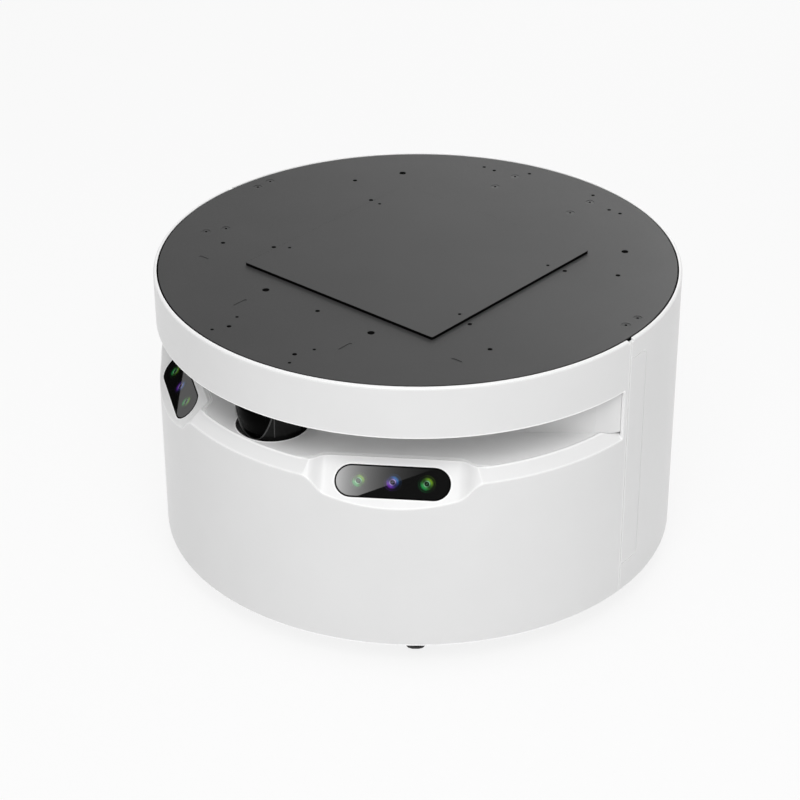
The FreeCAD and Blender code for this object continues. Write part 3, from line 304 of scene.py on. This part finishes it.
MATERIALS = {
    # the white shell gets painted highlights along its edges
    "white_shell": surface("white_shell_gloss", srgb(231), srgb(234), 0.30, 0.38, 900, 0.02,
                           round_edges=0.9 * MM, highlight_colour=srgb(254), Coat_Weight=0.2,
                           Coat_Roughness=0.06, Specular_IOR_Level=0.4),
    "dark_deck": surface("dark_deck_paint", srgb(52), srgb(56), 0.40, 0.50, 1400, 0.08,
                         round_edges=0.3 * MM, IOR=1.25),
    "bay_plastic": surface("bay_plastic_satin", srgb(226), srgb(230), 0.40, 0.50, 900, 0.03,
                           round_edges=0.6 * MM),
    "steel": surface("zinc_steel", srgb(150), srgb(168), 0.28, 0.42, 500, 0.05, Metallic=1.0),
    "aluminium": surface("satin_aluminium", srgb(185), srgb(198), 0.32, 0.45, 600, 0.05,
                         stretch=(1.0, 6.0, 1.0), Metallic=1.0),
    "black_screw": surface("black_oxide", srgb(30), srgb(36), 0.30, 0.42, 900, 0.05, Metallic=0.5),
    "black_glass": surface("window_glass", srgb(3), srgb(5), 0.005, 0.015, 300, 0.001),
    "lens_glass": surface("lens_barrel", srgb(8), srgb(12), 0.2, 0.3, 300, 0.004,
                          Specular_IOR_Level=0.2),
    "black_plastic": surface("matte_black_plastic", srgb(28), srgb(34), 0.45, 0.6, 1200, 0.08),
    "gloss_black": surface("gloss_black_plastic", srgb(28), srgb(33), 0.12, 0.18, 500, 0.01,
                           Specular_IOR_Level=0.06),
    "tyre_rubber": surface("tyre_rubber_black", srgb(30), srgb(36), 0.65, 0.8, 1100, 0.15),
    "caster_rubber": surface("caster_rubber_black", srgb(20), srgb(26), 0.55, 0.7, 1100, 0.12,
                             Specular_IOR_Level=0.15),
    "unit_black": surface("unit_case_black", srgb(32), srgb(38), 0.4, 0.55, 1000, 0.08),
    "battery_case": surface("battery_case_grey", srgb(58), srgb(64), 0.45, 0.6, 1000, 0.08),
    "contact_brass": surface("contact_brass_bare", linear(200, 160, 90), linear(214, 176, 104),
                             0.25, 0.38, 700, 0.04, Metallic=1.0),
    "button_metal": surface("button_steel", srgb(170), srgb(180), 0.25, 0.35, 700, 0.04,
                            Metallic=1.0),
}
# near-black material of the sheets of painted shade
SHADE_BLACK = surface("painted_shade_black", srgb(5), srgb(9), 0.75, 0.85, 1100, 0.06, IOR=1.06)
# near-white material of the ring of painted highlight on the well's edge
WELL_HIGHLIGHT = surface("well_edge_highlight_white", srgb(250), srgb(254), 0.3, 0.4, 900, 0.02)
SCAN_BLACK = surface("scan_window_black", srgb(1), srgb(2), 0.10, 0.16, 500, 0.004,
                     Specular_IOR_Level=0.02)
# grey of the painted highlights on the lidar's scan window
SCAN_HIGHLIGHT = surface("scan_window_highlight", srgb(72), srgb(82), 0.25, 0.35, 700, 0.02,
                   Specular_IOR_Level=0.1)
# painted reflections of the coated lenses, green and violet
GREEN_REFLECTION = painted_lens_reflection("lens_coating_green", linear(130, 200, 150), linear(40, 165, 85),
                          linear(125, 175, 40))
VIOLET_REFLECTION = painted_lens_reflection("lens_coating_violet", linear(175, 155, 225), linear(125, 55, 195),
                           linear(50, 120, 195))

SLOT_OF = {entry["node"]: entry["material_slot"] for entry in frame["record"]["subparts"]}
for name, node in frame["nodes"].items():
    node.data.materials.clear()
    node.data.materials.append(MATERIALS[SLOT_OF[name]])


# ------------------------------------------------------------------ added pieces
def mesh_object(name, points, faces, material):
    """A mesh object from points in millimetres."""
    mesh = bpy.data.meshes.new(name)
    mesh.from_pydata([tuple(v * MM for v in p) for p in points], [], faces)
    mesh.materials.append(material)
    obj = bpy.data.objects.new(name, mesh)
    bpy.context.scene.collection.objects.link(obj)
    return obj


def piece(name, points, faces, material, place=None, body="chassis", smooth=False):
    """A mesh object that rides on one body."""
    obj = mesh_object(name, points, faces, material)
    for polygon in obj.data.polygons:
        polygon.use_smooth = smooth
    if place:
        obj.matrix_world = place
    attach(obj, body)
    return obj


def ring_mesh(outer, inner, low, high):
    """Closed band between two outlines of equal count, from one height to another."""
    count = len(outer)
    points = [(x, y, z) for z in (low, high) for line in (outer, inner) for x, y in line]
    faces = []
    for i in range(count):
        j = (i + 1) % count
        for p, q in ((0, 1), (3, 2)):
            faces.append((p * count + i, p * count + j, q * count + j, q * count + i))
        faces.append((i, 2 * count + i, 2 * count + j, j))
        faces.append((count + i, count + j, 3 * count + j, 3 * count + i))
    return points, faces


def closed_sheet(front, back):
    """Closed sheet between two grids of points, row by row."""
    rows, width = len(front), len(front[0])
    points = [p for grid in (front, back) for row in grid for p in row]
    faces = []
    for i in range(rows - 1):
        for j in range(width - 1):
            a = i * width + j
            b = rows * width + a
            faces += [(a, a + 1, a + width + 1, a + width), (b, b + width, b + width + 1, b + 1)]
    border = (list(range(width)) + [i * width + width - 1 for i in range(1, rows)]
              + [(rows - 1) * width + j for j in range(width - 2, -1, -1)]
              + [i * width for i in range(rows - 2, 0, -1)])
    for a, b in zip(border, border[1:] + border[:1]):
        faces.append((a, rows * width + a, rows * width + b, b))
    return points, faces


def disc_mesh(line, low, high):
    """Closed plate of one outline, from one height to another."""
    count = len(line)
    points = [(x, y, z) for z in (low, high) for x, y in line]
    faces = [tuple(range(count - 1, -1, -1)), tuple(range(count, 2 * count))]
    for i in range(count):
        j = (i + 1) % count
        faces.append((i, j, count + j, count + i))
    return points, faces


def circle(radius, count=96, x=0.0, y=0.0):
    turns = [2 * math.pi * i / count for i in range(count)]
    return [(x + radius * math.cos(turn), y + radius * math.sin(turn)) for turn in turns]


def stadium_line(length, height, x=0.0, y=0.0, steps=16):
    """Round-ended bar outline about (x, y)."""
    half, radius = (length - height) / 2, height / 2
    line = []
    for centre, start in ((half, -90), (-half, 90)):
        for i in range(steps + 1):
            turn = math.radians(start + 180 * i / steps)
            line.append((x + centre + radius * math.cos(turn), y + radius * math.sin(turn)))
    return line


def square_line(half, corner, steps=4):
    """Outline of a square with rounded corners."""
    line = []
    for quarter, (sx, sy) in enumerate(((1, 1), (-1, 1), (-1, -1), (1, -1))):
        for i in range(steps + 1):
            turn = math.radians(90 * quarter + 90 * i / steps)
            line.append((sx * (half - corner) + corner * math.cos(turn),
                         sy * (half - corner) + corner * math.sin(turn)))
    return line


def pod_place(sign):
    """Frame of a camera pod: x along its window, y up its face, z out of it."""
    turn = math.radians(sign * POD_ANGLE)
    at = Vector((math.sin(turn) * BODY_RADIUS, -math.cos(turn) * BODY_RADIUS, POD_POINT)) * MM
    return (Matrix.Translation(at) @ Matrix.Rotation(turn, 4, "Z")
            @ Matrix.Rotation(math.radians(POD_TILT), 4, "X"))


# dark ring in the gap round the deck: painted shade for the shadow line there
piece("deck_gap_shade", *ring_mesh(circle(RIM_INNER - SHADE_GAP, 256),
                              circle(DECK_RADIUS + SHADE_GAP, 256),
                              DECK_GAP_SHADE_LOW, DECK_GAP_SHADE_HIGH), SHADE_BLACK)
# dark band round the cover's sides: painted shade for its shaded side faces
piece("cover_side_shade", *ring_mesh(square_line(COVER_HALF + COVER_SHADE_OUT, COVER_CORNER + COVER_SHADE_OUT),
                                    square_line(COVER_HALF + COVER_SHADE_IN, COVER_CORNER),
                                    DECK_TOP, COVER_TOP - COVER_SHADE_BELOW), SHADE_BLACK)
# lighter ring on the edge of the well: painted highlight
piece("well_edge_highlight", *ring_mesh(circle(WELL_RADIUS + WELL_HIGHLIGHT_WIDTH, 96, 0, LIDAR_Y),
                             circle(WELL_RADIUS, 96, 0, LIDAR_Y),
                             BAY_FLOOR, BAY_FLOOR + WELL_HIGHLIGHT_HEIGHT), WELL_HIGHLIGHT)
# dark discs just inside the drilled holes: painted shade, so that the holes read black
for kind, table, top in (("deck", HOLES, DECK_TOP), ("cover", COVER_HOLES, COVER_TOP)):
    for i, (x, y, radius) in enumerate(table):
        for k in ((1, -1) if x else (1,)):
            disc = circle(radius - HOLE_SHADE_SHRINK, 24, k * x, y)
            piece("%s_plug_%d%s" % (kind, i, "a" if k > 0 else "b"),
                  *disc_mesh(disc, *(top - depth for depth in HOLE_SHADE_DEPTHS)), SHADE_BLACK)

windows = bpy.data.collections.new("windows")
for side, sign in SIDES:
    windows.objects.link(frame["nodes"]["camera_window_" + side])
    place = pod_place(sign)
    # dark ring round each window: painted shade for the glass's bevelled edge
    outer, inner = (stadium_line(WINDOW_LENGTH + wider, WINDOW_HEIGHT + wider, 0, WINDOW_OFFSET)
                    for wider in (WINDOW_SHADE_OUT, -WINDOW_SHADE_IN))
    piece("window_edge_shade_" + side, *ring_mesh(outer, inner, WINDOW_SHADE_LOW, WINDOW_SHADE_HIGH),
          SHADE_BLACK, place)
    # lens discs that carry the painted lens reflections
    for i in (-1, 0, 1):
        at = place @ Matrix.Translation(Vector((i * LENS_PITCH, WINDOW_OFFSET, 0)) * MM)
        lens = piece("lens_%s_%d" % (side, i + 1),
                     *disc_mesh(circle(LENS_RADIUS, 48), LENS_BACK, LENS_FRONT),
                     VIOLET_REFLECTION if i == 0 else GREEN_REFLECTION, at)
        windows.objects.link(lens)

# scan window of the lidar head, with a thin grey rim and a grey line beside it, both painted
# highlights; angles in degrees
LIDAR_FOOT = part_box("lidar_head")[1][2] / MM - LIDAR_HEAD_HEIGHT
SCAN_MIDDLE = 5
SCAN_HALF = 39
SCAN_LOW = 18.5
SCAN_TOP = 47
SCAN_CURVE = 2.6
SCAN_COLUMNS = 48
SCAN_ROWS = 10
SCAN_PROUD = 0.12
SCAN_RIM_LEFT = 13
SCAN_RIM_RIGHT = 3
SCAN_RIM_DROP = 1.2
SCAN_RIM_PROUD = 0.2
HIGHLIGHT_LINE_ANGLES = (46.5, 47.4, 48.3)
HIGHLIGHT_LINE_LOW = 23
HIGHLIGHT_LINE_PROUD = 0.25
SHEET_BACK = 0.02


def on_lidar(angle, height, proud):
    """A point on the lidar's bowl, by its direction in degrees and its height above the foot."""
    for (low, near), (high, far) in zip(LIDAR_PROFILE, LIDAR_PROFILE[1:]):
        if low <= height <= high:
            reach = near + (far - near) * (height - low) / (high - low) + proud
    turn = math.radians(angle)
    return (math.sin(turn) * reach, LIDAR_Y - math.cos(turn) * reach, LIDAR_FOOT + height)


def scan_edge(angle):
    """Height of the U-shaped lower edge of the scan window."""
    lean = abs(angle - SCAN_MIDDLE) / SCAN_HALF
    return SCAN_LOW + (SCAN_TOP - SCAN_LOW) * lean ** SCAN_CURVE


def lidar_sheet(name, columns, material, proud):
    """A thin sheet on the bowl from columns of (angle, height) points."""
    front, back = ([[on_lidar(angle, height, out) for angle, height in column]
                    for column in columns] for out in (proud, SHEET_BACK))
    piece(name, *closed_sheet(front, back), material, body="lidar_rotor", smooth=True)


SCAN_ANGLES = [SCAN_MIDDLE - SCAN_HALF + 2 * SCAN_HALF * i / SCAN_COLUMNS
               for i in range(SCAN_COLUMNS + 1)]
lidar_sheet("lidar_scan_window",
            [[(a, scan_edge(a) + (SCAN_TOP + 1 - scan_edge(a)) * k / SCAN_ROWS)
              for k in range(SCAN_ROWS + 1)] for a in SCAN_ANGLES], SCAN_BLACK, SCAN_PROUD)
# grey rim along the window's lower edge, wider on the left: painted highlight
rim = []
for angle in SCAN_ANGLES:
    lean = (angle - SCAN_MIDDLE) / SCAN_HALF
    wide = SCAN_RIM_RIGHT if lean > 0 else SCAN_RIM_LEFT
    rim.append([(angle + wide * lean * k,
                 scan_edge(angle) - SCAN_RIM_DROP * k * (1 - lean * lean)) for k in (0, 0.5, 1)])
lidar_sheet("lidar_scan_highlight", rim, SCAN_HIGHLIGHT, SCAN_RIM_PROUD)
# grey line beside the window: painted highlight
lidar_sheet("lidar_highlight_line", [[(a, HIGHLIGHT_LINE_LOW + 2 * k) for k in range(12)] for a in HIGHLIGHT_LINE_ANGLES],
            SCAN_HIGHLIGHT, HIGHLIGHT_LINE_PROUD)

# ------------------------------------------------------------------ floor, light and camera
# The floor glows for the rays that see it, so it stays white, and is clear from below.
white = Maker("floor_white")
white.set(Base_Color=(FLOOR_COLOUR, FLOOR_COLOUR, FLOOR_COLOUR, 1), Roughness=0.9,
          Specular_IOR_Level=0.0)
path = white.nodes.new("ShaderNodeLightPath")
seen = white.math("MAXIMUM", path.outputs["Is Camera Ray"],
                  white.math("MAXIMUM", path.outputs["Is Glossy Ray"],
                             path.outputs["Is Transmission Ray"]))
glow = white.node("ShaderNodeEmission", Color=(1, 1, 1, 1), Strength=1.0)
blend = white.nodes.new("ShaderNodeMixShader")
white.links.new(white.math("MULTIPLY", seen, FLOOR_GLOW), blend.inputs[0])
white.links.new(white.shader.outputs["BSDF"], blend.inputs[1])
white.links.new(glow.outputs["Emission"], blend.inputs[2])
below = white.nodes.new("ShaderNodeNewGeometry")
clear = white.nodes.new("ShaderNodeBsdfTransparent")
one_sided = white.nodes.new("ShaderNodeMixShader")
white.links.new(below.outputs["Backfacing"], one_sided.inputs[0])
white.links.new(blend.outputs["Shader"], one_sided.inputs[1])
white.links.new(clear.outputs["BSDF"], one_sided.inputs[2])
white.links.new(one_sided.outputs["Shader"], white.nodes["Material Output"].inputs["Surface"])
floor = mesh_object("floor", [(x * FLOOR_REACH, y * FLOOR_REACH, 0) for x, y in FLOOR_CORNERS],
                    [(0, 1, 2, 3)], white.mat)

# The world is white for the rays that see it and dimmer as a light.
world = bpy.data.worlds.new("studio")
bpy.context.scene.world = world
world.use_nodes = True
tree = world.node_tree
background = tree.nodes["Background"]
background.inputs["Color"].default_value = (1, 1, 1, 1)
background.inputs["Strength"].default_value = WORLD_LEVEL
backdrop = tree.nodes.new("ShaderNodeBackground")
backdrop.inputs["Strength"].default_value = BACKDROP_LEVEL
sky_path = tree.nodes.new("ShaderNodeLightPath")
sky_mix = tree.nodes.new("ShaderNodeMixShader")
shown = sky_path.outputs["Is Camera Ray"]
for other in ("Is Glossy Ray", "Is Transmission Ray"):
    either = tree.nodes.new("ShaderNodeMath")
    either.operation = "MAXIMUM"
    tree.links.new(shown, either.inputs[0])
    tree.links.new(sky_path.outputs[other], either.inputs[1])
    shown = either.outputs["Value"]
tree.links.new(shown, sky_mix.inputs[0])
tree.links.new(background.outputs["Background"], sky_mix.inputs[1])
tree.links.new(backdrop.outputs["Background"], sky_mix.inputs[2])
tree.links.new(sky_mix.outputs["Shader"], tree.nodes["World Output"].inputs["Surface"])


def spot(azimuth, distance, height):
    """A place in the studio, by its direction from the robot as seen from above."""
    turn = math.radians(azimuth)
    return Vector((distance * math.sin(turn), -distance * math.cos(turn), height))


def lamp(name, location, target, size, power):
    """A round area lamp, aimed at a target."""
    data = bpy.data.lights.new(name, "AREA")
    data.shape = "DISK"
    data.size = size
    data.energy = power
    obj = bpy.data.objects.new(name, data)
    bpy.context.scene.collection.objects.link(obj)
    obj.location = location
    obj.rotation_euler = (Vector(target) - Vector(location)).to_track_quat("-Z", "Y").to_euler()
    return obj


lamp("key", spot(41, 2.0, 2.53), (0, 0, 0.15), 2.0, 51.5)
lamp("overhead", (0, 0, 2.6), (0, 0, 0), 2.5, 8)
lamp("back_fill", spot(210, 2.6, 0.9), (0, 0, 0.15), 1.6, 8)

# this lamp lights the deck alone, and gives it the photograph's gradient
deck_light = lamp("deck_light", (-0.07, 1.28, 0.8), (0, 0, 0.28), 0.8, 8)
lit_nodes = bpy.data.collections.new("deck_lit")
for name in ("deck_plate", "deck_cover"):
    lit_nodes.objects.link(frame["nodes"][name])
deck_light.light_linking.receiver_collection = lit_nodes

camera_data = bpy.data.cameras.new("camera")
camera_data.sensor_width = SENSOR_WIDTH
camera_data.lens = CAMERA_LENS
camera_data.shift_x = CAMERA_SHIFT
camera = bpy.data.objects.new("camera", camera_data)
bpy.context.scene.collection.objects.link(camera)
camera.location = spot(CAMERA_AZIMUTH, CAMERA_DISTANCE, CAMERA_HEIGHT)
camera.rotation_euler = (math.radians(CAMERA_TILT), 0, math.radians(CAMERA_AZIMUTH))
bpy.context.scene.camera = camera


# cards that the two windows reflect, as a studio's reflector and black flag do
def card(name, sign, corners, level, fade=None):
    """A card over a window, which the glass shows at these places.

    Its light may fade along x: fade gives where it starts and the length of the fall."""
    place = pod_place(sign)
    eye = place.inverted() @ camera.location / MM
    spread = CARD_HEIGHT / eye.z

    def seen(x, y):
        return (x + (x - eye.x) * spread, y + (y - eye.y) * spread, CARD_HEIGHT)

    m = Maker(name)
    glow = m.node("ShaderNodeEmission", Color=(1, 1, 1, 1), Strength=level)
    if fade:
        start, length = fade
        split = m.node("ShaderNodeSeparateXYZ", Vector=m.coords.outputs["Object"])
        along = m.math("SUBTRACT", split.outputs["X"], seen(start, 0)[0] * MM)
        fall = m.math("EXPONENT", m.math("MULTIPLY", along, -1 / (length * (1 + spread) * MM)))
        m.links.new(m.math("MULTIPLY", fall, level), glow.inputs["Strength"])
    m.links.new(glow.outputs["Emission"], m.nodes["Material Output"].inputs["Surface"])
    obj = mesh_object(name, [seen(x, y) for x, y in corners], [tuple(range(len(corners)))], m.mat)
    obj.matrix_world = place
    obj.visible_camera = obj.visible_diffuse = False
    obj.visible_shadow = obj.visible_transmission = False
    obj.light_linking.receiver_collection = windows


card("reflector_front", 1, ((-62, 60), (-62, -3.4), (62, 49), (62, 60)), 10.8, fade=(-45.0, 21.5))
card("flag_front", 1, ((-62, -3.4), (-62, -20), (62, -20), (62, 49)), 0.15)
card("flag_side", -1, ((-82, 60), (-82, -20), (103, -20)), 0.02)

bpy.context.scene.view_settings.view_transform = "Standard"
